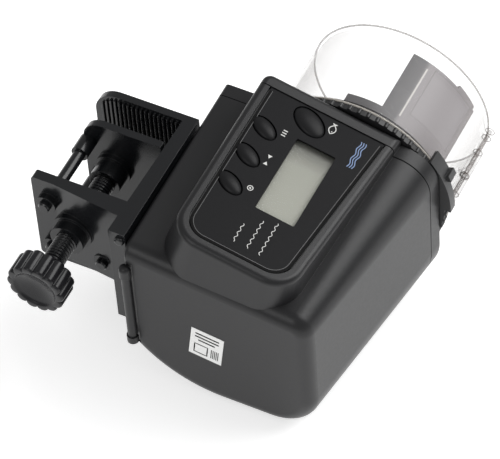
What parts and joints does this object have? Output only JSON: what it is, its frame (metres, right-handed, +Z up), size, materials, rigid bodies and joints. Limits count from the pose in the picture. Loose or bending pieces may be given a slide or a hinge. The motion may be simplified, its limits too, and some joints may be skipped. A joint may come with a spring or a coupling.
{
  "type": "automatic fish feeder",
  "caption": "Aquarium fish feeder: black housing with tilted control panel, clear rotating feed drum with door and portion slider, and a screw clamp for the tank rim.",
  "frame": {"origin": "middle of the flat underside that the housing rests on, below the drum axis", "axes": "+X along the drum axis from the drum to the plain end face, +Z up, clamp on the -Y side"},
  "size_m": [0.1383, 0.1303, 0.0863],
  "materials": {
    "housing_black": "satin moulded black",
    "tray_black": "matt black",
    "fascia_black": "semi-gloss printed film",
    "lens_clear": "clear",
    "lcd_grey": "grey-green display",
    "board_green": "solder mask",
    "steel": "plated",
    "switch_black": "matt",
    "button_black": "soft satin",
    "label_white": "paper label",
    "cell_wrap": "printed sleeve",
    "motor_steel": "zinc plated",
    "gear_white": "natural acetal",
    "coupling_black": "satin moulded black",
    "drum_clear": "clear polystyrene",
    "pin_clear": "clear",
    "slider_grey": "grey moulded",
    "clamp_black": "semi-gloss moulded black",
    "knob_black": "semi-gloss moulded black"
  },
  "bodies": {
    "housing": {"main_shell": "housing_black", "end_ring": "housing_black", "battery_tray": "tray_black", "battery_cells": "cell_wrap", "contact_plates": "steel", "contact_springs": "steel", "fascia": "fascia_black", "lcd_lens": "lens_clear", "lcd_module": "lcd_grey", "circuit_board": "board_green", "board_screws": "steel", "tact_switches": "switch_black", "rating_label": "label_white", "corner_rod": "housing_black", "ring_screws": "steel", "gearbox_plate": "tray_black", "gearbox_screws": "steel", "gear_motor": "motor_steel", "home_sensor": "switch_black"},
    "battery_door": {"battery_door": "housing_black"},
    "mode_button": {"mode_button": "button_black"},
    "adjust_button": {"adjust_button": "button_black"},
    "set_button": {"set_button": "button_black"},
    "feed_button": {"feed_button": "button_black"},
    "pinion": {"motor_pinion": "gear_white", "motor_shaft": "steel"},
    "drum": {"drum": "drum_clear", "drum_coupling": "coupling_black", "drum_gear": "gear_white", "home_magnet": "steel", "shaft_clip": "steel", "hinge_pin": "pin_clear"},
    "door": {"fill_door": "drum_clear"},
    "slider": {"portion_slider": "slider_grey"},
    "clamp": {"clamp_frame": "clamp_black"},
    "jaw": {"moving_jaw": "clamp_black", "guide_rods": "clamp_black"},
    "screw": {"clamp_screw": "clamp_black", "clamp_knob": "knob_black"}
  },
  "joints": [
    {"name": "drum_spin", "type": "hinge", "parent": "housing", "child": "drum", "pos_m": [-0.05, 0, 0.0435], "axis": [1, 0, 0], "continuous": true},
    {"name": "motor_spin", "type": "hinge", "parent": "housing", "child": "pinion", "pos_m": [-0.035, -0.0216, 0.0435], "axis": [1, 0, 0], "continuous": true},
    {"name": "fill_door_hinge", "type": "hinge", "parent": "drum", "child": "door", "pos_m": [-0.06, 0.03718, 0.04577], "axis": [1, 0, 0], "range_deg": [0, 110]},
    {"name": "portion_adjust", "type": "hinge", "parent": "drum", "child": "slider", "pos_m": [-0.06, 0, 0.0435], "axis": [1, 0, 0], "range_deg": [0, 40]},
    {"name": "mode_button_press", "type": "slide", "parent": "housing", "child": "mode_button", "axis": [0, -0.2334, -0.9724], "range_m": [0, 0.001], "stiffness_N_per_m": 250},
    {"name": "adjust_button_press", "type": "slide", "parent": "housing", "child": "adjust_button", "axis": [0, -0.2334, -0.9724], "range_m": [0, 0.001], "stiffness_N_per_m": 250},
    {"name": "set_button_press", "type": "slide", "parent": "housing", "child": "set_button", "axis": [0, -0.2334, -0.9724], "range_m": [0, 0.001], "stiffness_N_per_m": 250},
    {"name": "feed_button_press", "type": "slide", "parent": "housing", "child": "feed_button", "axis": [0, -0.2334, -0.9724], "range_m": [0, 0.001], "stiffness_N_per_m": 250},
    {"name": "battery_door_pull", "type": "slide", "parent": "housing", "child": "battery_door", "axis": [0, 0, -1], "range_m": [0, 0.02]},
    {"name": "clamp_slide", "type": "slide", "parent": "housing", "child": "clamp", "axis": [0, 0, -1], "range_m": [0, 0.02]},
    {"name": "jaw_slide", "type": "slide", "parent": "clamp", "child": "jaw", "axis": [1, 0, 0], "range_m": [-0.006, 0.012]},
    {"name": "screw_turn", "type": "hinge", "parent": "jaw", "child": "screw", "pos_m": [0.03, -0.0755, 0.0515], "axis": [1, 0, 0], "range_deg": [-1740, 3470]}
  ],
  "couplings": [
    {"joint": "motor_spin", "follows": "drum_spin", "ratio": -3.5},
    {"joint": "screw_turn", "follows": "jaw_slide", "rad_per_m": 5026.5}
  ]
}
